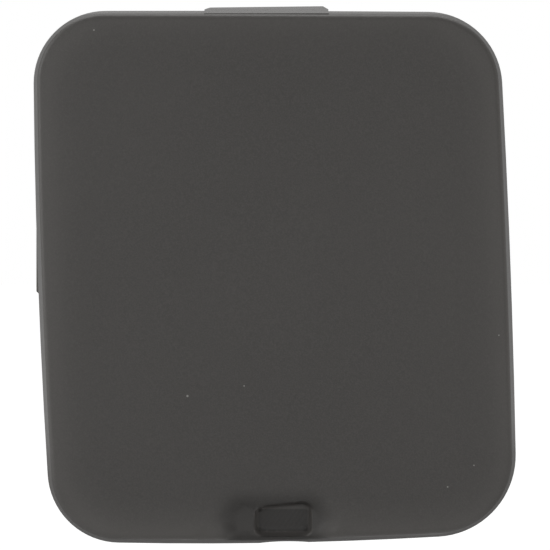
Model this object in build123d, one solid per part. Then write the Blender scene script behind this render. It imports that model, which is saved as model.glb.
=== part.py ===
from build123d import *
from bisect import bisect_left
import math
import os

# A push-in cover for a towing-eye opening, moulded in one piece from dark plastic.
# X runs to the right, Z up, and the painted face looks towards -Y.
# The origin lies in the plane of the rear rim, at the middle of the cover.

# Rim outline, seen from the front
WIDTH = 69.5
HEIGHT_LEFT = 79.2
HEIGHT_RIGHT = 77.8
RIM_TOP = 39.8
TOP_DROP = 0.2
LEAN = 2.8
BOW_TOP = 0.12
BOW_RIGHT = 0.48
BOW_BOTTOM = 0.97
BOW_LEFT = 0.72
CORNER_TOP_LEFT = 10.8
CORNER_TOP_RIGHT = 11.2
CORNER_BOTTOM_RIGHT = 12.2
CORNER_BOTTOM_LEFT = 10.8

# Shell: depth from the rim to the top of the crown, wall, draft and the two crown radii
FACE_DEPTH = 10.3
WALL = 2.4
DRAFT = 5.5
CROWN_RADIUS_ACROSS = 500.0
CROWN_RADIUS_UP = 700.0
EDGE_RADIUS = 1.0
INNER_CHAMFER = 1.0

# Soft fall of the face towards its edge, and the firmer band down the right side
FALL_WIDTH = 1.5
FALL_SLOPE = 0.10
FALL_SOFTNESS = 1.3
BAND_WIDTH = 4.2
BAND_SLOPE = 0.085
BAND_SOFTNESS = 0.5
BAND_START_X = 5.0
BAND_END_X = 25.0
BAND_LOW_Z = -35.0
BAND_HIGH_Z = 5.0
BAND_SHARE_LOW = 0.25

# Finger scoop at the lower edge, with a pocket for a blade in its floor
SCOOP_X = 0.2
SCOOP_RISE = 3.6
SCOOP_HALF_WIDTH = 7.0
SCOOP_HALF_HEIGHT = 2.7
SCOOP_CORNER = 2.5
SCOOP_DEPTH = 1.6
SCOOP_EDGE = 1.8
APPROACH_RISE = 4.2
APPROACH_HALF_WIDTH = 8.0
APPROACH_HALF_HEIGHT = 4.6
APPROACH_CORNER = 4.5
APPROACH_DEPTH = 0.35
APPROACH_EDGE = 4.0
POCKET_X = 1.2
POCKET_RISE = 3.6
POCKET_WIDTH = 7.6
POCKET_HEIGHT = 3.6
POCKET_DEPTH = 1.7
POCKET_CORNER = 1.0
POCKET_CHAMFER = 0.4
POCKET_SLANT = 0.9
POCKET_SLOPE = 10.0
POCKET_DRAFT = 14.0
RELIEF_X = 1.8
RELIEF_WIDTH = 7.5
RELIEF_DEPTH = 0.3

# Rear: ribs, the pad behind the scoop, and the marks of the ejector pins
RIB_THICKNESS = 1.3
RIB_HEIGHT = 2.0
RIB_X = (-13.0, 13.0)
RIB_Z = (-15.0, 15.0)
PAD_WIDTH = 19.0
PAD_RISE = 8.5
PAD_HEIGHT = 3.5
EJECTOR_RADIUS = 2.5
EJECTOR_DEPTH = 0.2
EJECTOR_X = 22.0
EJECTOR_Z = 26.0

# Top tongue, which hooks behind the panel
TONGUE_X = -1.3
TONGUE_ROOT_WIDTH = 18.5
TONGUE_TIP_WIDTH = 16.9
TONGUE_THICKNESS = 1.8
TONGUE_TIP_THICKNESS = 1.5
TONGUE_LENGTH = 8.5
TONGUE_PROUD = 0.15
TONGUE_FLARE = 0.66
TONGUE_TILT = -0.7
TONGUE_START = 7.4
TONGUE_TIP_RADIUS = 0.4

# Snap clips at the two sides, and the wider latch behind the scoop
CLIP_THICKNESS = 1.8
CLIP_LENGTH = 9.0
CLIP_CATCH = 2.6
CLIP_CATCH_RISE = 0.5
CLIP_LAND = 0.8
CLIP_ROOT = 3.5
CLIP_HEIGHT = 11.7
CLIP_Z = 2.95
CLIP_CORNER = 0.8
CLIP_INSET = 0.96
LEFT_BARB_HEIGHT = 1.18
RIGHT_BARB_HEIGHT = 0.8
LATCH_X = 0.6
LATCH_WIDTH = 14.0
LATCH_INSET = 1.09
LATCH_BARB_HEIGHT = 0.9

# Gussets that stiffen the tongue, the clips and the latch from inside
GUSSET_THICKNESS = 1.2
GUSSET_FOOT = 6.5
GUSSET_RISE = 4.5
GUSSET_SPACING = 6.0

# How densely the face is sampled, and how closely the spline follows
FACE_STATIONS = 44
ROOF_STATIONS = 5
FINE_STEPS = 2000
EDGE_SPREAD = 5.0
EDGE_CROWDING = 2.0
SCOOP_SPREAD = 8.0
SCOOP_CROWDING = 1.2
STATION_MARGIN = 4.5
SURFACE_TOLERANCE = 0.03
BEYOND_FACE = 30.0

REAR_PLANE = Plane.XZ
X_AXIS, Z_AXIS = 0, 1
TOP_SIDE, RIGHT_SIDE, BOTTOM_SIDE, LEFT_SIDE = range(4)


def corner_points():
    """The sharp corners of the rim before rounding: top left, top right, bottom right, bottom left."""
    half = WIDTH / 2
    shift = LEAN / 2
    return (
        (-half - shift, RIM_TOP),
        (half - shift, RIM_TOP - TOP_DROP),
        (half + shift, RIM_TOP - HEIGHT_RIGHT),
        (-half + shift, RIM_TOP - HEIGHT_LEFT),
    )


def rim_bottom():
    """The height of the rim's lowest corner."""
    return RIM_TOP - max(HEIGHT_LEFT, HEIGHT_RIGHT)


def corner_radii():
    """The radii of the rim's corners, in the order of its corner points."""
    return CORNER_TOP_LEFT, CORNER_TOP_RIGHT, CORNER_BOTTOM_RIGHT, CORNER_BOTTOM_LEFT


def sides():
    """Start, end and outward bow of the top, right, bottom and left side."""
    top_left, top_right, bottom_right, bottom_left = corner_points()
    return (
        (top_left, top_right, BOW_TOP),
        (top_right, bottom_right, BOW_RIGHT),
        (bottom_right, bottom_left, BOW_BOTTOM),
        (bottom_left, top_left, BOW_LEFT),
    )


def rim_line(side, axis, value):
    """Where a side of the rim lies, at a value along the given axis."""
    start, end, bow = sides()[side]
    share = (value - start[axis]) / (end[axis] - start[axis])
    outward = 1 if side in (TOP_SIDE, RIGHT_SIDE) else -1
    straight = mix(start[1 - axis], end[1 - axis], share)
    return straight + outward * bow * (1 - (2 * share - 1) ** 2)


def bottom_at(x, rise=0.0):
    """A height over the lower side of the rim at x."""
    return rim_line(BOTTOM_SIDE, X_AXIS, x) + rise


def bowed_side(start, end, bow):
    """An arc from start to end whose middle stands out by the bow."""
    run_x = end[0] - start[0]
    run_z = end[1] - start[1]
    length = math.hypot(run_x, run_z)
    middle = (
        (start[0] + end[0]) / 2 - run_z / length * bow,
        (start[1] + end[1]) / 2 + run_x / length * bow,
    )
    return ThreePointArc(start, middle, end)


def nearest_vertex(face, point):
    """The face's vertex that lies at the given point."""
    return min(face.vertices(), key=lambda v: math.hypot(v.X - point[0], v.Y - point[1]))


def rim_outline():
    """The outline in the rim plane: four bowed sides with rounded corners."""
    face = make_face([bowed_side(*side) for side in sides()])
    for point, radius in zip(corner_points(), corner_radii()):
        face = fillet(nearest_vertex(face, point), radius)
    return face


def inside_side(x, z, start, end, bow):
    """How far a point lies inside one bowed side of the rim."""
    run_x = end[0] - start[0]
    run_z = end[1] - start[1]
    length = math.hypot(run_x, run_z)
    along = ((x - start[0]) * run_x + (z - start[1]) * run_z) / length
    inside = ((x - start[0]) * run_z - (z - start[1]) * run_x) / length
    from_middle = 2 * along / length - 1
    return inside + bow * (1 - from_middle**2)


def inside_rim(x, z):
    """How far a point lies inside the rim, measured round the rounded corners."""
    top, right, bottom, left = (inside_side(x, z, *side) for side in sides())
    nearest = min(top, right, bottom, left)
    pairs = ((left, top), (top, right), (right, bottom), (bottom, left))
    for (first, second), radius in zip(pairs, corner_radii()):
        if first < radius and second < radius:
            nearest = min(nearest, radius - math.hypot(radius - first, radius - second))
    return nearest


def ease(share):
    """A smooth step from 0 to 1."""
    share = min(max(share, 0.0), 1.0)
    return share * share * (3 - 2 * share)


def mix(first, second, share):
    return first + (second - first) * share


def crown(x, z):
    """Height of the crowned face over the rim plane, without its edges."""
    return FACE_DEPTH - x**2 / (2 * CROWN_RADIUS_ACROSS) - z**2 / (2 * CROWN_RADIUS_UP)


def edge_fall(x, z):
    """How far the face has fallen below its crown near the edge."""
    inset = (FACE_DEPTH - EDGE_RADIUS) * math.tan(math.radians(DRAFT))
    inward = max(inside_rim(x, z) - inset, -WALL / 2)
    to_right = ease((x - BAND_START_X) / (BAND_END_X - BAND_START_X))
    upward = ease((z - BAND_LOW_Z) / (BAND_HIGH_Z - BAND_LOW_Z))
    band = to_right * mix(BAND_SHARE_LOW, 1.0, upward)
    width = mix(FALL_WIDTH, BAND_WIDTH, band)
    slope = mix(FALL_SLOPE, BAND_SLOPE, band)
    softness = mix(FALL_SOFTNESS, BAND_SOFTNESS, band)
    return slope * softness * math.log1p(math.exp((width - inward) / softness))


def basin(x, z, rise, half_width, half_height, corner, edge):
    """1 inside a rounded box over the lower rim, 0 outside it, with a soft edge."""
    beyond_x = abs(x - SCOOP_X) - half_width + corner
    beyond_z = abs(z - bottom_at(SCOOP_X, rise)) - half_height + corner
    outside = math.hypot(max(beyond_x, 0), max(beyond_z, 0)) - corner
    inside = min(max(beyond_x, beyond_z), 0)
    return ease(0.5 - (outside + inside) / edge)


def scoop(x, z):
    """Depth of the finger scoop below the face, with the soft approach around it."""
    core = basin(
        x, z, SCOOP_RISE, SCOOP_HALF_WIDTH, SCOOP_HALF_HEIGHT, SCOOP_CORNER, SCOOP_EDGE
    )
    approach = basin(
        x,
        z,
        APPROACH_RISE,
        APPROACH_HALF_WIDTH,
        APPROACH_HALF_HEIGHT,
        APPROACH_CORNER,
        APPROACH_EDGE,
    )
    return SCOOP_DEPTH * core + APPROACH_DEPTH * approach


def face_height(x, z):
    return crown(x, z) - edge_fall(x, z) - scoop(x, z)


def roof_height(x, z):
    """Height of the inner face of the shell over the rim plane."""
    return crown(x, z) - WALL


def root_height(x, z):
    """Height to which the ribs and the pad are rooted in the face."""
    return roof_height(x, z) + WALL / 4


def stations(reach, count, crowds):
    """Rising values from -reach to reach, closer together around the crowded places."""
    fine = [mix(-reach, reach, i / FINE_STEPS) for i in range(FINE_STEPS + 1)]
    passed = [0.0]
    for value in fine[1:]:
        crowding = sum(
            share * math.exp(-(((value - place) / spread) ** 2)) for place, spread, share in crowds
        )
        passed.append(passed[-1] + 1 + crowding)
    return [fine[bisect_left(passed, passed[-1] * (i / (count - 1)))] for i in range(count)]


def space_before(height, count, rearward=0.0):
    """Everything in front of a height surface, which may be moved towards the rear."""
    reach_x = (WIDTH + LEAN) / 2 + STATION_MARGIN
    reach_z = max(RIM_TOP, -rim_bottom()) + STATION_MARGIN
    crowds_x = (
        (-WIDTH / 2, EDGE_SPREAD, EDGE_CROWDING),
        (SCOOP_X, SCOOP_SPREAD, SCOOP_CROWDING),
        (WIDTH / 2, EDGE_SPREAD, EDGE_CROWDING),
    )
    crowds_z = (
        (rim_bottom(), EDGE_SPREAD, EDGE_CROWDING + SCOOP_CROWDING),
        (RIM_TOP, EDGE_SPREAD, EDGE_CROWDING),
    )
    points = [
        [Vector(x, rearward - height(x, z), z) for x in stations(reach_x, count, crowds_x)]
        for z in stations(reach_z, count, crowds_z)
    ]
    surface = Face.make_surface_from_array_of_points(
        points, tol=SURFACE_TOLERANCE, min_deg=3, max_deg=3
    )
    return Solid.extrude(surface, Vector(0, -BEYOND_FACE, 0))


def drafted_block(inset):
    """The rim outline drawn forward with draft, from so far back that it is set in at the rim."""
    behind = inset / math.tan(math.radians(DRAFT))
    outline = REAR_PLANE.offset(-behind) * rim_outline()
    return extrude(outline, amount=behind + FACE_DEPTH + WALL, taper=DRAFT)


def block_between(x_low, x_high, z_low, z_high):
    """A straight block through the whole depth of the shell."""
    width = x_high - x_low
    height = z_high - z_low
    middle = ((x_low + x_high) / 2, (z_low + z_high) / 2)
    return extrude(REAR_PLANE * Pos(*middle) * Rectangle(width, height), amount=FACE_DEPTH)


def front_edges(block):
    return block.faces().sort_by(Axis.Y)[0].edges()


def filled_form():
    """The outer form as a full block, with its crowned face and rounded front edge."""
    form = drafted_block(0) - space_before(face_height, FACE_STATIONS)
    return fillet(front_edges(form), EDGE_RADIUS)


def hollow():
    """The space inside the walls, up to the inner face of the crown, with its corner filled in."""
    space = drafted_block(WALL) - space_before(roof_height, ROOF_STATIONS)
    return chamfer(front_edges(space), INNER_CHAMFER)


def roof_layer(height):
    """A layer on the inner face, which reaches back by the height and is rooted in the walls."""
    rooted = drafted_block(WALL / 2) - space_before(root_height, ROOF_STATIONS)
    return rooted & space_before(roof_height, ROOF_STATIONS, rearward=height)


def ribs():
    """Low stiffening ribs that follow the inner face."""
    grid = Part()
    reach = WIDTH + max(HEIGHT_LEFT, HEIGHT_RIGHT)
    half = RIB_THICKNESS / 2
    for x in RIB_X:
        grid += block_between(x - half, x + half, -reach, reach)
    for z in RIB_Z:
        grid += block_between(-reach, reach, z - half, z + half)
    return grid & roof_layer(RIB_HEIGHT)


def scoop_pad():
    """Extra thickness behind the scoop, so that its floor keeps a full wall."""
    half = PAD_WIDTH / 2
    low = bottom_at(SCOOP_X)
    high = bottom_at(SCOOP_X, PAD_RISE)
    block = block_between(SCOOP_X - half, SCOOP_X + half, low, high)
    return block & roof_layer(PAD_HEIGHT)


def blade_pocket():
    """The pocket in the scoop's floor. Its bottom slopes up towards the lower edge."""
    z = bottom_at(POCKET_X, POCKET_RISE)
    floor = face_height(POCKET_X, z) - POCKET_DEPTH
    right = POCKET_WIDTH / 2
    top = POCKET_HEIGHT / 2
    corners = ((-right, -top), (right, -top), (right, top + POCKET_SLANT), (-right, top))
    shape = make_face(Polyline(*corners, close=True))
    shape = fillet(shape.vertices(), POCKET_CORNER)
    cutter = extrude(shape, amount=FACE_DEPTH / 2, taper=-POCKET_DRAFT)
    cutter = chamfer(cutter.faces().sort_by(Axis.Z)[0].edges(), POCKET_CHAMFER)
    place = Plane(
        origin=(POCKET_X, -floor, z),
        x_dir=(1, 0, 0),
        z_dir=(0, -1, -math.tan(math.radians(POCKET_SLOPE))),
    )
    return place * cutter


def lower_relief():
    """A shallow hollow in the outside of the lower wall, under the scoop."""
    radius = (RELIEF_WIDTH**2 / 4 + RELIEF_DEPTH**2) / (2 * RELIEF_DEPTH)
    centre = (RELIEF_X, bottom_at(RELIEF_X, RELIEF_DEPTH) - radius)
    return extrude(REAR_PLANE * Pos(*centre) * Circle(radius), amount=FACE_DEPTH)


def ejector_marks():
    marks = Part()
    for x in (-EJECTOR_X, EJECTOR_X):
        for z in (-EJECTOR_Z, EJECTOR_Z):
            depth = roof_height(x, z) + EJECTOR_DEPTH
            marks += extrude(REAR_PLANE * Pos(x, z) * Circle(EJECTOR_RADIUS), amount=depth)
    return marks


def tongue_section(y, z_top, width, thickness, tilt):
    """One cross-section of the tongue, upright in the plane at depth y."""
    plane = Plane(origin=(TONGUE_X, y, z_top), x_dir=(1, 0, 0), z_dir=(0, 1, 0))
    return plane * Rot(0, 0, tilt) * Pos(0, thickness / 2) * Rectangle(width, thickness)


def top_tongue():
    """A tongue in line with the top wall, which flares a little towards its tip."""
    rim = RIM_TOP + BOW_TOP
    front = rim - TONGUE_START * math.tan(math.radians(DRAFT))
    tip = rim + TONGUE_PROUD + TONGUE_FLARE
    sections = [
        tongue_section(-TONGUE_START, front, TONGUE_ROOT_WIDTH, TONGUE_THICKNESS, 0),
        tongue_section(0, rim + TONGUE_PROUD, TONGUE_ROOT_WIDTH, TONGUE_THICKNESS, 0),
        tongue_section(TONGUE_LENGTH, tip, TONGUE_TIP_WIDTH, TONGUE_TIP_THICKNESS, TONGUE_TILT),
    ]
    tongue = loft(sections, ruled=True)
    tip_edges = tongue.faces().sort_by(Axis.Y)[-1].edges()
    return fillet(tip_edges, TONGUE_TIP_RADIUS)


def snap_profile(face, barb, inward):
    """Side view of a snap clip. The barb stands out from the clip's face, and inward points back."""
    land_end = CLIP_CATCH + CLIP_CATCH_RISE + CLIP_LAND
    return [
        (face, -CLIP_ROOT),
        (face, CLIP_CATCH),
        (barb, CLIP_CATCH + CLIP_CATCH_RISE),
        (barb, land_end),
        (face + inward * CLIP_THICKNESS / 3, CLIP_LENGTH),
        (face + inward * CLIP_THICKNESS, CLIP_LENGTH),
        (face + inward * CLIP_THICKNESS, -CLIP_ROOT),
    ]


def clip_ends(clip):
    """The clip with the corners of its barb cut off at both ends."""
    tips = clip.edges().filter_by(Axis.Y).group_by(SortBy.LENGTH)[0]
    return chamfer(tips, CLIP_CORNER)


def clip_face(side):
    """X of the outer face of a side clip."""
    inward = 1 if side == LEFT_SIDE else -1
    return rim_line(side, Z_AXIS, CLIP_Z) + inward * CLIP_INSET


def side_clip(side, barb_height):
    """A snap clip on a side wall, upright along Z."""
    inward = 1 if side == LEFT_SIDE else -1
    face = clip_face(side)
    profile = Polyline(*snap_profile(face, face - inward * barb_height, inward), close=True)
    plane = Plane(origin=(0, 0, CLIP_Z - CLIP_HEIGHT / 2), x_dir=(1, 0, 0), z_dir=(0, 0, 1))
    return clip_ends(extrude(plane * make_face(profile), amount=CLIP_HEIGHT))


def latch():
    """The wider snap clip on the lower wall, behind the scoop."""
    face = bottom_at(LATCH_X, LATCH_INSET)
    profile = Polyline(*snap_profile(face, face - LATCH_BARB_HEIGHT, 1), close=True)
    plane = Plane(origin=(LATCH_X + LATCH_WIDTH / 2, 0, 0), x_dir=(0, 0, 1), z_dir=(-1, 0, 0))
    return clip_ends(extrude(plane * make_face(profile), amount=LATCH_WIDTH))


def gusset(point_x, point_z, toward_x, toward_z):
    """A triangular web from the inner side of a clip down to the inner face of the crown."""
    foot_x = point_x + toward_x * GUSSET_FOOT
    foot_z = point_z + toward_z * GUSSET_FOOT
    sink = WALL / 3
    near = -roof_height(point_x, point_z) - sink
    far = -roof_height(foot_x, foot_z) - sink
    overlap = CLIP_THICKNESS / 3
    start = Vector(point_x - toward_x * overlap, 0, point_z - toward_z * overlap)
    end = Vector(foot_x, 0, foot_z)
    outline = Polyline(
        start + Vector(0, GUSSET_RISE, 0),
        end + Vector(0, far + sink, 0),
        end + Vector(0, far, 0),
        start + Vector(0, near, 0),
        close=True,
    )
    web = extrude(make_face(outline), amount=GUSSET_THICKNESS / 2, both=True)
    return web


def gussets():
    webs = Part()
    half = GUSSET_SPACING / 2
    left = clip_face(LEFT_SIDE) + CLIP_THICKNESS
    right = clip_face(RIGHT_SIDE) - CLIP_THICKNESS
    top = RIM_TOP + BOW_TOP + TONGUE_PROUD - TONGUE_THICKNESS
    bottom = bottom_at(LATCH_X, LATCH_INSET) + CLIP_THICKNESS
    for shift in (-half, half):
        webs += gusset(left, CLIP_Z + shift, 1, 0)
        webs += gusset(right, CLIP_Z + shift, -1, 0)
        webs += gusset(TONGUE_X + shift, top, 0, -1)
        webs += gusset(LATCH_X + shift, bottom, 0, 1)
    return webs


def tow_eye_cover():
    rear = ribs() + scoop_pad() + gussets() + latch() + top_tongue()
    rear += side_clip(LEFT_SIDE, LEFT_BARB_HEIGHT)
    rear += side_clip(RIGHT_SIDE, RIGHT_BARB_HEIGHT)
    rear -= ejector_marks()
    shell = filled_form() - hollow() - ejector_marks()
    return shell + rear - blade_pocket() - lower_relief()


os.makedirs("parts", exist_ok=True)
cover = tow_eye_cover()
print("solids", len(cover.solids()), "valid", cover.is_valid, "volume", round(cover.volume))
export_step(cover.solids()[0], "parts/tow_eye_cover.step")
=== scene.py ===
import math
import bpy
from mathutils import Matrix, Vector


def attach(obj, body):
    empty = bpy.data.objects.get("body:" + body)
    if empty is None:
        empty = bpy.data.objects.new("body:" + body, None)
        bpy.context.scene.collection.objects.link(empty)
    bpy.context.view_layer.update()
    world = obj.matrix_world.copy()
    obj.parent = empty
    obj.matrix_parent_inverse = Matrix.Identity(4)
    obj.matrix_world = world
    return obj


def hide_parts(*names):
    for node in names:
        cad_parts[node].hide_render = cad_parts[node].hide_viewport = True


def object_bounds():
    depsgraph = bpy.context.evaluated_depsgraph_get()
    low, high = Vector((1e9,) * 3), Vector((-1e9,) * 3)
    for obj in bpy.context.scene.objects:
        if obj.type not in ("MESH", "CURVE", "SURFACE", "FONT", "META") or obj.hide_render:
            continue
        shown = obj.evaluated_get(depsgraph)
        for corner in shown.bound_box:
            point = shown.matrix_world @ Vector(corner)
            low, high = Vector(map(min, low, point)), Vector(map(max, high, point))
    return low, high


bl_info = {
    "name": "Tow Eye Cover",
    "version": (1, 0, 0),
    "blender": (4, 5, 0),
    "location": "3D View > Sidebar > Tow Eye Cover",
    "description": "Finishes the packed cover in moulded plastic and sets up its studio",
    "category": "Object",
}

import bmesh
import bpy
from bpy.props import FloatProperty, FloatVectorProperty, PointerProperty
from mathutils import Matrix, Vector

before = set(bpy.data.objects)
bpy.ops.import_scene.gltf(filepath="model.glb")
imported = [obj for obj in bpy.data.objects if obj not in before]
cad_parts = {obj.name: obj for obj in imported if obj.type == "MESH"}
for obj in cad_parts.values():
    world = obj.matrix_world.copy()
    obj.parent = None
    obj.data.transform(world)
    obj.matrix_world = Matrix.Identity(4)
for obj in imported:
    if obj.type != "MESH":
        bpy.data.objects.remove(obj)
CAD_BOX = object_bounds()

# The cover faces -Y, with Z up. All lengths here are in metres.
NODE = "tow_eye_cover"
BODY = "root"
PIECE = "cover_moulding"

# Points of the CAD mesh that lie closer than this are one
SAME_POINT = 2e-6

# Edges that turn more than this are drawn sharp: on what faces the front, and on all the rest
SHARP_IN_FRONT = math.radians(32)
SHARP_BEHIND = math.radians(10)

# A face looks to the front when its normal's Y is below this, and a sliver has no sure normal
TURNED_FORWARD = -0.03
SLIVER_AREA = 2e-10

# Zones of the front that are finely divided and softened, as low x, low z, high x, high z, each
# with the longest edge that stays whole and the number of rounds of smoothing
SCOOP_ZONE = (-0.0120, -0.0390, 0.0120, -0.0290)
SCOOP_EDGE = 0.00040
SCOOP_ROUNDS = 14
POCKET_ZONE = (-0.0044, -0.0390, 0.0068, -0.0326)
POCKET_EDGE = 0.00018
POCKET_ROUNDS = 24

# The most times that the long edges of a zone are halved
REFINE_ROUNDS = 9

# All that lies further back than this belongs to the inside
DEEPEST_FRONT = -0.0050

# Boxes that the looks are measured from, as the x and z of the middle, half the width and half the
# height. The box of the face leans over with the outline.
FACE_BOX = (0.0, 0.0, 0.0215, 0.0265)
SCOOP_BOX = (-0.0003, -0.0362, 0.0050, 0.0010)
POCKET_BOX = (0.0012, -0.0361, 0.0034, 0.0014)

# Spans over which a look comes in, as where it starts and where it is full, by the distance
# outside a box
# The next two spans bring in painted light, which makes the face paler towards its edges and rim
EDGE_LIGHT_SPAN = (0.0055, 0.0118)
RIM_LIGHT_SPAN = (0.0090, 0.0125)
SKIRT_START = (0.0112, 0.0122)
# Painted shade in the scoop
SCOOP_SHADE_SPAN = (0.0044, 0.0012)
POCKET_FLOOR = (0.0006, 0.0002)
# Painted light on the walls of the pocket
WALL_FOOT = (0.0001, 0.0004)
WALL_TOP = (0.0011, 0.0008)

# Such spans by the distance from the middle line, and by the height
# The next two spans bring in painted light, paler towards the sides and the foot of the face
SIDE_LIGHT_SPAN = (0.008, 0.030)
FOOT_LIGHT_SPAN = (-0.0320, -0.0392)
# Painted shade on the lower skirt
FOOT_SHADE_SPAN = (-0.0200, -0.0340)
# The next two spans set where painted light makes the walls of the pocket paler, less on the upper
# one
OVER_RIDGE = (-0.0387, -0.0385)
UPPER_WALL = (-0.0346, -0.0338)
# Where the tongue takes its painted highlight
OVER_RIM = (0.0391, 0.0394)

# Such spans by the depth, which is negative in front of the rear rim
FRONT_DEPTHS = (-0.0046, -0.0050)
FACE_DEPTHS = (-0.0070, -0.0078)
DUST_DEPTHS = (-0.0070, -0.0080)
RIM_DEPTHS = (-0.0078, -0.0086)
SKIRT_DEPTHS = (-0.0086, -0.0076)
POCKET_DEPTHS = (-0.0068, -0.0062)
WALL_DEPTHS = (-0.0080, -0.0074)
TONGUE_DEPTHS = (-0.0076, -0.0070)
CLIP_DEPTHS = (-0.0004, 0.0)

# The slanted tool lines in the pocket: from one to the next, and how far they lean over
HATCH_PITCH = 0.00075
HATCH_LEAN = 0.7

# How far the outline leans over for each metre of height
OUTLINE_LEAN = 0.0354

# Width of one patch of the faint cloudiness
CLOUD_SIZE = 0.02

# Colours that the looks bring in, as factors of the plastic's own
CLOUD_SHADES = (0.84, 1.04)
SPECKLED_SHADE = 1.5
# Painted light: how much paler the face is towards its edges, rim and foot
EDGE_LIGHT_SHADE = 2.0
# Painted light: how much paler the walls of the pocket are
WALL_LIGHT_SHADE = 2.5
# Painted highlight on the clips and the tongue
TONGUE_HIGHLIGHT_SHADE = 2.2
# Painted shade: how dark the scoop, the pocket and the lower skirt are painted
PAINTED_SHADE = 0.3

# Where the noise of the grain and of the pores starts to show as pale specks, and where it is full
GRAIN_SPECKS = (0.35, 0.75)
PORE_SPECKS = (0.3, 0.7)

# Changes of the roughness: less on the clips and tongue, more on the lower skirt, where painted shade
# darkens it, and more or less in the pores
POLISHED_ROUGHNESS = -0.15
SHADED_FOOT_ROUGHNESS = 0.32
PORE_ROUGHNESS = 0.12

# How much the plastic bends light, which sets the strength of its shine
PLASTIC_IOR = 1.46

# Where dust and fine marks lie on the face, as x and z, and how large they are
DUST_MARKS = (
    (-0.0130, -0.0176, 0.00022),
    (-0.0046, -0.0161, 0.00014),
    (0.0256, -0.0311, 0.00016),
    (0.0295, -0.0279, 0.00014),
    (0.0332, -0.0086, 0.00014),
    (-0.0269, 0.0367, 0.00016),
)
DUST_COLOUR = (0.42, 0.41, 0.39, 1.0)

# The floor: half its width, its white for the camera, and how far it turns to that white for all
# rays and how much further for the camera
FLOOR_SIZE = 40.0
FLOOR_WHITE = 1.15
FLOOR_GLOW = 0.15
FLOOR_SEEN = 0.72

# The light panels: the name, the angle off the camera's axis, the angle around it from the right,
# the width and height, the share of the side light's power, and the colour
LIGHT_PANELS = (
    ("top light", 115, 90, (0.7, 1.1), 0.85, (1.0, 0.99, 0.98)),
    ("left light", 85, 160, (0.6, 0.8), 0.75, (1.0, 1.0, 1.0)),
    ("right light", 95, 20, (0.3, 0.8), 0.12, (1.0, 0.9, 0.8)),
    ("left front light", 24, 160, (0.34, 0.5), 0.14, (1.0, 1.0, 1.0)),
    ("right front light", 24, 20, (0.34, 0.5), 0.12, (1.0, 0.98, 0.95)),
)


class Number:
    """A shader value that can be used in arithmetic, and adds a Math node for each step."""

    def __init__(self, graph, socket):
        self.graph = graph
        self.socket = socket

    def worked(self, operation, *values):
        return self.graph.node("ShaderNodeMath", {"operation": operation}, dict(enumerate(values)))

    def __add__(self, other):
        return self.worked("ADD", self, other)

    __radd__ = __add__

    def __sub__(self, other):
        return self.worked("SUBTRACT", self, other)

    def __rsub__(self, other):
        return self.worked("SUBTRACT", other, self)

    def __mul__(self, other):
        return self.worked("MULTIPLY", self, other)

    __rmul__ = __mul__

    def __pow__(self, other):
        return self.worked("POWER", self, other)

    def __abs__(self):
        return self.worked("ABSOLUTE", self)


class Graph:
    """The node tree of one material or world."""

    def __init__(self, owner):
        owner.use_nodes = True
        self.tree = owner.node_tree
        self.tree.nodes.clear()

    def node(self, kind, settings=None, inputs=None, output=0):
        """Adds a node of a kind, sets it up, and fills its sockets. Returns one of its outputs."""
        made = self.tree.nodes.new(kind)
        for name, value in (settings or {}).items():
            setattr(made, name, value)
        for name, value in (inputs or {}).items():
            if isinstance(value, Number):
                self.tree.links.new(value.socket, made.inputs[name])
            else:
                made.inputs[name].default_value = value
        return Number(self, made.outputs[output]) if made.outputs else None

    def parts(self, vector):
        """The X, Y and Z of a vector."""
        split = self.node("ShaderNodeSeparateXYZ", None, {0: vector}).socket.node
        return tuple(Number(self, socket) for socket in split.outputs)

    def smooth_step(self, value, start, end):
        """0 at start, 1 at end, and a soft change between them."""
        return self.node(
            "ShaderNodeMapRange",
            {"interpolation_type": "SMOOTHSTEP"},
            {"Value": value, "From Min": start, "From Max": end},
        )

    def noise(self, where, size, detail=2.0, roughness=0.5):
        """A noise from 0 to 1 with features of about the given size."""
        return self.node(
            "ShaderNodeTexNoise",
            {"noise_dimensions": "3D"},
            {"Vector": where, "Scale": 1 / size, "Detail": detail, "Roughness": roughness},
            "Fac",
        )

    def mixed(self, factor, first, second):
        """Two colours mixed by a factor."""
        return self.node(
            "ShaderNodeMix",
            {"data_type": "RGBA"},
            {0: factor, 6: first, 7: second},
            2,
        )


def shade(colour, factor):
    """An RGBA colour whose red, green and blue are multiplied by a factor."""
    return tuple(channel * factor for channel in colour[:3]) + (1.0,)


def dust_mask(graph, where):
    """1 on each of the dust marks, and 0 between them."""
    total = 0.0
    flat = graph.node(
        "ShaderNodeVectorMath", {"operation": "MULTIPLY"}, {0: where, 1: (1, 0, 1)}
    )
    for x, z, radius in DUST_MARKS:
        distance = graph.node(
            "ShaderNodeVectorMath",
            {"operation": "DISTANCE"},
            {0: flat, 1: (x, 0, z)},
            "Value",
        )
        total = graph.smooth_step(distance, radius, radius * 0.4) + total
    return total


def beyond(across, up, box):
    """How far a place lies outside an upright box, seen from the front."""
    middle_x, middle_z, half_width, half_height = box
    side = abs(across - middle_x) - half_width
    end = abs(up - middle_z) - half_height
    side = side.worked("MAXIMUM", side, 0.0)
    end = end.worked("MAXIMUM", end, 0.0)
    return (side * side + end * end) ** 0.5


def hatching(across, up):
    """Fine slanted tool lines, from -1 to 1, as they show in the floor of the pocket."""
    turns = (across - up * HATCH_LEAN) * (2 * math.pi / HATCH_PITCH)
    return turns.worked("SINE", turns)


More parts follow.
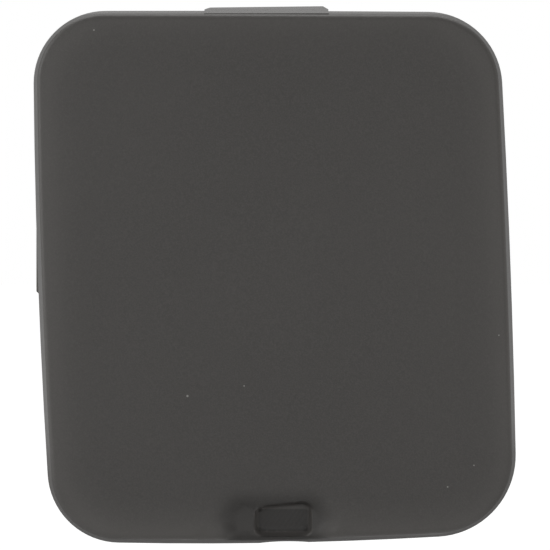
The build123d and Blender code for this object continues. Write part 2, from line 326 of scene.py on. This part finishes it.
def painted_edge_light_mask(graph, across, depth, up, from_middle):
    """How much painted light makes the face paler, which grows towards its edges and most towards its
    foot.
    """
    to_edge = graph.smooth_step(from_middle, *EDGE_LIGHT_SPAN)
    to_rim = graph.smooth_step(from_middle, *RIM_LIGHT_SPAN) * graph.smooth_step(depth, *RIM_DEPTHS)
    to_side = graph.smooth_step(abs(across), *SIDE_LIGHT_SPAN)
    to_foot = graph.smooth_step(up, *FOOT_LIGHT_SPAN) * graph.smooth_step(depth, *FACE_DEPTHS)
    return to_edge * 0.8 + to_rim * 1.1 + to_side * 0.2 + to_foot * 1.4


def rough_shaded_foot_mask(graph, depth, up, from_middle):
    """1 on the lower part of the skirt, which painted shade darkens and which is rougher, and 0
    elsewhere.
    """
    on_skirt = graph.smooth_step(from_middle, *SKIRT_START) * graph.smooth_step(depth, *SKIRT_DEPTHS)
    return on_skirt * graph.smooth_step(up, *FOOT_SHADE_SPAN)


def pocket_wall_light_mask(graph, depth, up, to_pocket):
    """1 on the walls of the pocket but less on the upper one, where painted light makes them paler,
    and 0 elsewhere.
    """
    on_walls = graph.smooth_step(to_pocket, *WALL_FOOT) * graph.smooth_step(to_pocket, *WALL_TOP)
    over_ridge = graph.smooth_step(up, *OVER_RIDGE)
    lower = 1.0 - graph.smooth_step(up, *UPPER_WALL) * 0.6
    return on_walls * over_ridge * lower * graph.smooth_step(depth, *WALL_DEPTHS)


def polished_and_highlit_mask(graph, depth, up):
    """1 on the clips and the tongue, which have no grain, are less rough and are paler by a painted
    highlight, and 0 elsewhere.
    """
    clips = graph.smooth_step(depth, *CLIP_DEPTHS)
    tongue = graph.smooth_step(up, *OVER_RIM) * graph.smooth_step(depth, *TONGUE_DEPTHS)
    return clips.worked("MAXIMUM", clips, tongue)


def moulded_plastic(finish):
    """Matt dark plastic with a fine spark-eroded grain, faint cloudiness, a little dust, and painted
    light and shade.
    """
    material = bpy.data.materials.new("moulded plastic")
    graph = Graph(material)
    where = graph.node("ShaderNodeTexCoord", output="Object")
    across, depth, up = graph.parts(where)
    from_middle = beyond(across + up * OUTLINE_LEAN, up, FACE_BOX)
    to_pocket = beyond(across, up, POCKET_BOX)
    in_front = graph.smooth_step(depth, *FRONT_DEPTHS)
    in_scoop = graph.smooth_step(beyond(across, up, SCOOP_BOX), *SCOOP_SHADE_SPAN)
    in_pocket = graph.smooth_step(to_pocket, *POCKET_FLOOR) * graph.smooth_step(depth, *POCKET_DEPTHS)
    rough_shaded_foot = rough_shaded_foot_mask(graph, depth, up, from_middle)
    polished_and_highlit = polished_and_highlit_mask(graph, depth, up)

    cloud = graph.noise(where, CLOUD_SIZE, 3.0)
    grain = graph.noise(where, finish.grain_size, 3.0, 0.6)
    pores = graph.noise(where, finish.grain_size * 3, 2.0)

    base = finish.colour
    # The colour of the painted shade in the scoop, the pocket and on the lower skirt
    shaded_colour = shade(base, PAINTED_SHADE)
    colour = graph.mixed(cloud, *(shade(base, factor) for factor in CLOUD_SHADES))
    speckled = (
        graph.smooth_step(grain, *GRAIN_SPECKS) * 0.5 + graph.smooth_step(pores, *PORE_SPECKS) * 0.12
    )
    colour = graph.mixed(speckled, colour, shade(base, SPECKLED_SHADE))
    edge_light_share = painted_edge_light_mask(graph, across, depth, up, from_middle) * finish.painted_edge_light
    # Painted light makes the face paler towards its edges, rim and foot
    colour = graph.mixed(edge_light_share, colour, shade(base, EDGE_LIGHT_SHADE))
    # Painted shade darkens the lower skirt
    colour = graph.mixed(rough_shaded_foot * 0.2, colour, shaded_colour)
    # Painted shade darkens the scoop and the pocket
    scoop_shaded = (in_scoop + in_pocket * 0.3) * in_front * finish.scoop_shade
    colour = graph.mixed(scoop_shaded, colour, shaded_colour)
    pocket_wall_lit = pocket_wall_light_mask(graph, depth, up, to_pocket) * in_front * finish.pocket_wall_light
    # Painted light makes the walls of the pocket paler
    colour = graph.mixed(pocket_wall_lit, colour, shade(base, WALL_LIGHT_SHADE))
    dusty = dust_mask(graph, where) * graph.smooth_step(depth, *DUST_DEPTHS) * finish.dust
    colour = graph.mixed(dusty, colour, DUST_COLOUR)
    # A painted highlight makes the clips and the tongue paler
    colour = graph.mixed(polished_and_highlit, colour, shade(base, TONGUE_HIGHLIGHT_SHADE))

    roughness = (
        polished_and_highlit * POLISHED_ROUGHNESS
        + rough_shaded_foot * SHADED_FOOT_ROUGHNESS
        + (pores - 0.5) * PORE_ROUGHNESS
        + finish.roughness
    )
    height = grain * 0.7 + pores * 0.3 + hatching(across, up) * in_pocket * in_front * finish.hatch
    bump = graph.node(
        "ShaderNodeBump",
        None,
        {"Strength": 1.0, "Distance": finish.grain_depth, "Height": height},
    )
    surface = graph.node(
        "ShaderNodeBsdfPrincipled",
        None,
        {"Base Color": colour, "Roughness": roughness, "Normal": bump, "IOR": PLASTIC_IOR},
    )
    graph.node("ShaderNodeOutputMaterial", None, {"Surface": surface})
    return material


def turned_forward(face):
    """True for a face that looks to the front, and for one too thin to tell where it looks."""
    return face.normal.y < TURNED_FORWARD or face.calc_area() < SLIVER_AREA


def on_front(edge, zone, least):
    """True for a long edge of the front surfaces whose middle lies within a zone."""
    low_x, low_z, high_x, high_z = zone
    middle = (edge.verts[0].co + edge.verts[1].co) / 2
    return (
        edge.calc_length() > least
        and low_x < middle.x < high_x
        and low_z < middle.z < high_z
        and middle.y < DEEPEST_FRONT
        and all(turned_forward(face) for face in edge.link_faces)
    )


def refine(shape, zone, least):
    """Divides the long edges of the front surfaces within a zone until all are short."""
    for _ in range(REFINE_ROUNDS):
        long_edges = [edge for edge in shape.edges if on_front(edge, zone, least)]
        bmesh.ops.subdivide_edges(shape, edges=long_edges, cuts=1)
        many_sided = [face for face in shape.faces if len(face.verts) > 3]
        bmesh.ops.triangulate(shape, faces=many_sided)
        shape.normal_update()


def soften(shape, zone, rounds):
    """Rounds off the front surfaces within a zone."""
    inside = [
        point for point in shape.verts if all(on_front(edge, zone, 0) for edge in point.link_edges)
    ]
    for _ in range(rounds):
        bmesh.ops.smooth_vert(
            shape, verts=inside, factor=0.5, use_axis_x=True, use_axis_y=True, use_axis_z=True
        )


def shade_edges(shape):
    """Marks which edges are drawn sharp, so that the front looks smooth and the ribs look crisp."""
    for edge in shape.edges:
        in_front = all(face.normal.y < TURNED_FORWARD for face in edge.link_faces)
        limit = SHARP_IN_FRONT if in_front else SHARP_BEHIND
        edge.smooth = edge.calc_face_angle(math.pi) < limit


def smooth_copy(node):
    """A copy of a CAD node with its triangles joined and its scoop finely divided and softened."""
    shape = bmesh.new()
    shape.from_mesh(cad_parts[node].data)
    bmesh.ops.remove_doubles(shape, verts=shape.verts, dist=SAME_POINT)
    refine(shape, SCOOP_ZONE, SCOOP_EDGE)
    refine(shape, POCKET_ZONE, POCKET_EDGE)
    soften(shape, SCOOP_ZONE, SCOOP_ROUNDS)
    soften(shape, POCKET_ZONE, POCKET_ROUNDS)
    shape.normal_update()
    shade_edges(shape)
    for face in shape.faces:
        face.smooth = True
    mesh = bpy.data.meshes.new(PIECE)
    shape.to_mesh(mesh)
    shape.free()
    return mesh


class CoverFinish(bpy.types.PropertyGroup):
    """Colour and grain of the moulding."""

    colour: FloatVectorProperty(
        name="Plastic",
        description="Colour of the moulded plastic",
        default=(0.057, 0.054, 0.051),
        size=3,
        min=0.0,
        max=1.0,
        subtype="COLOR",
    )
    roughness: FloatProperty(
        name="Roughness",
        description="Roughness of the matt surface",
        default=0.42,
        min=0.0,
        max=1.0,
        subtype="FACTOR",
    )
    grain_size: FloatProperty(
        name="Grain size",
        description="Width of one grain of the eroded texture",
        default=0.00022,
        min=0.00005,
        unit="LENGTH",
    )
    grain_depth: FloatProperty(
        name="Grain depth",
        description="Height of the eroded texture",
        default=0.00003,
        min=0.0,
        unit="LENGTH",
    )
    # How much painted light makes the plastic paler towards the edges
    painted_edge_light: FloatProperty(
        name="Painted edge light",
        description="How much paler the plastic is towards the edges",
        default=0.17,
        min=0.0,
        max=1.0,
        subtype="FACTOR",
    )
    # How much painted shade darkens the scoop
    scoop_shade: FloatProperty(
        name="Scoop shade",
        description="How much darker the plastic is in the scoop",
        default=0.42,
        min=0.0,
        max=1.0,
        subtype="FACTOR",
    )
    # The paler walls of the pocket are painted light
    pocket_wall_light: FloatProperty(
        name="Pocket wall light",
        description="How much paler the walls of the pocket are, where tools rub",
        default=0.5,
        min=0.0,
        max=1.0,
        subtype="FACTOR",
    )
    hatch: FloatProperty(
        name="Tool lines",
        description="Height of the tool lines in the pocket, in grain depths",
        default=0.35,
        min=0.0,
    )
    dust: FloatProperty(
        name="Dust",
        description="How much the dust marks show",
        default=0.6,
        min=0.0,
        max=1.0,
        subtype="FACTOR",
    )


class CoverStage(bpy.types.PropertyGroup):
    """Camera and light around the cover."""

    distance: FloatProperty(
        name="Camera distance",
        description="From the camera to the plane of the rear rim",
        default=1.2,
        min=0.2,
        unit="LENGTH",
    )
    view_width: FloatProperty(
        name="View width",
        description="Width of the view in the plane of the rear rim",
        default=0.08222,
        min=0.02,
        unit="LENGTH",
    )
    centre: FloatVectorProperty(
        name="View centre",
        description="Point in the plane of the rear rim at the middle of the view",
        default=(-0.00002, 0.0, 0.00034),
        size=3,
        subtype="XYZ",
        unit="LENGTH",
    )
    floor_gap: FloatProperty(
        name="Floor gap",
        description="Height of the cover over the floor",
        default=0.012,
        min=0.0,
        unit="LENGTH",
    )
    ambient: FloatProperty(
        name="Ambient light",
        description="Strength of the even light from all around",
        default=0.44,
        min=0.0,
    )
    side_light: FloatProperty(
        name="Side light",
        description="Power that each light panel takes its share of",
        default=4.2,
        min=0.0,
        unit="POWER",
    )


class COVER_OT_moulding(bpy.types.Operator):
    """Make the cover itself, one moulding with its tongue, clips and ribs"""

    bl_idname = "cover.moulding"
    bl_label = "Moulding"

    def execute(self, context):
        piece = bpy.data.objects.new(PIECE, smooth_copy(NODE))
        context.scene.collection.objects.link(piece)
        piece.data.materials.append(moulded_plastic(context.scene.cover_finish))
        even = piece.modifiers.new("even shading", "WEIGHTED_NORMAL")
        even.weight = 80
        even.keep_sharp = True
        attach(piece, BODY)
        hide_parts(NODE)
        return {"FINISHED"}


def light_panel(name, off_axis, around, size, power, colour):
    """A lamp one metre away that points at the cover.

    Its place is told by the angle off the camera's axis, and the angle around it from the right.
    """
    tilt = math.radians(off_axis)
    turn = math.radians(around)
    lamp = bpy.data.lights.new(name, "AREA")
    lamp.shape = "RECTANGLE"
    lamp.size = size[0]
    lamp.size_y = size[1]
    lamp.energy = power
    lamp.color = colour
    panel = bpy.data.objects.new(name, lamp)
    outward = Vector((math.cos(turn), 0, math.sin(turn)))
    place = outward * math.sin(tilt) + Vector((0, -math.cos(tilt), 0))
    facing = place.normalized()
    tangent = Vector((-math.sin(turn), 0, math.cos(turn)))
    radial = tangent.cross(facing)
    axes = Matrix((radial, tangent, facing)).transposed()
    panel.matrix_world = Matrix.Translation(place) @ axes.to_4x4()
    panel.visible_camera = False
    bpy.context.scene.collection.objects.link(panel)


def studio_world(ambient):
    """Even grey light, with a white background for the camera."""
    world = bpy.data.worlds.new("studio")
    bpy.context.scene.world = world
    graph = Graph(world)
    seen = graph.node("ShaderNodeLightPath", output="Is Camera Ray")
    even = graph.node("ShaderNodeBackground", None, {"Color": (1, 1, 1, 1), "Strength": ambient})
    white = graph.node("ShaderNodeBackground", None, {"Color": (1, 1, 1, 1), "Strength": 1.0})
    surface = graph.node("ShaderNodeMixShader", None, {0: seen, 1: even, 2: white})
    graph.node("ShaderNodeOutputWorld", None, {"Surface": surface})


def floor_material():
    """A pale floor that looks white to the camera and still takes the cover's shadow."""
    material = bpy.data.materials.new("pale floor")
    graph = Graph(material)
    seen = graph.node("ShaderNodeLightPath", output="Is Camera Ray")
    pale = graph.node("ShaderNodeBsdfDiffuse", None, {"Color": (0.8, 0.8, 0.8, 1)})
    white = graph.node("ShaderNodeEmission", None, {"Color": (1, 1, 1, 1), "Strength": FLOOR_WHITE})
    share = seen * FLOOR_SEEN + FLOOR_GLOW
    surface = graph.node("ShaderNodeMixShader", None, {0: share, 1: pale, 2: white})
    graph.node("ShaderNodeOutputMaterial", None, {"Surface": surface})
    return material


class COVER_OT_stage(bpy.types.Operator):
    """Make the floor, the soft light and the camera"""

    bl_idname = "cover.stage"
    bl_label = "Stage"

    def execute(self, context):
        stage = context.scene.cover_stage
        studio_world(stage.ambient)

        shape = bmesh.new()
        bmesh.ops.create_grid(shape, x_segments=1, y_segments=1, size=FLOOR_SIZE)
        bmesh.ops.translate(shape, verts=shape.verts, vec=(0, 0, CAD_BOX[0][2] - stage.floor_gap))
        mesh = bpy.data.meshes.new("floor")
        shape.to_mesh(mesh)
        shape.free()
        mesh.materials.append(floor_material())
        floor = bpy.data.objects.new("floor", mesh)
        context.scene.collection.objects.link(floor)

        for name, off_axis, around, size, share, colour in LIGHT_PANELS:
            light_panel(name, off_axis, around, size, stage.side_light * share, colour)

        lens = bpy.data.cameras.new("camera")
        lens.sensor_width = 36.0
        lens.lens = lens.sensor_width * stage.distance / stage.view_width
        lens.clip_start = 0.01
        lens.clip_end = 100.0
        camera = bpy.data.objects.new("camera", lens)
        camera.location = Vector(stage.centre) - Vector((0, stage.distance, 0))
        camera.rotation_euler = (math.radians(90), 0, 0)
        context.scene.collection.objects.link(camera)
        context.scene.camera = camera
        context.scene.view_settings.view_transform = "Standard"
        return {"FINISHED"}


class COVER_PT_sidebar(bpy.types.Panel):
    """Lists the pieces of the cover and their settings"""

    bl_idname = "COVER_PT_sidebar"
    bl_label = "Tow Eye Cover"
    bl_space_type = "VIEW_3D"
    bl_region_type = "UI"
    bl_category = "Tow Eye Cover"

    def draw(self, context):
        layout = self.layout
        for settings, operators in (
            (context.scene.cover_finish, (COVER_OT_moulding,)),
            (context.scene.cover_stage, (COVER_OT_stage,)),
        ):
            box = layout.box()
            for name in settings.__annotations__:
                box.prop(settings, name)
            for operator in operators:
                box.operator(operator.bl_idname)


CLASSES = (
    CoverFinish,
    CoverStage,
    COVER_OT_moulding,
    COVER_OT_stage,
    COVER_PT_sidebar,
)


def register():
    for item in CLASSES:
        bpy.utils.register_class(item)
    bpy.types.Scene.cover_finish = PointerProperty(type=CoverFinish)
    bpy.types.Scene.cover_stage = PointerProperty(type=CoverStage)


def unregister():
    del bpy.types.Scene.cover_stage
    del bpy.types.Scene.cover_finish
    for item in reversed(CLASSES):
        bpy.utils.unregister_class(item)


def main():
    register()
    bpy.ops.cover.moulding()
    bpy.ops.cover.stage()


if __name__ == "__main__":
    main()
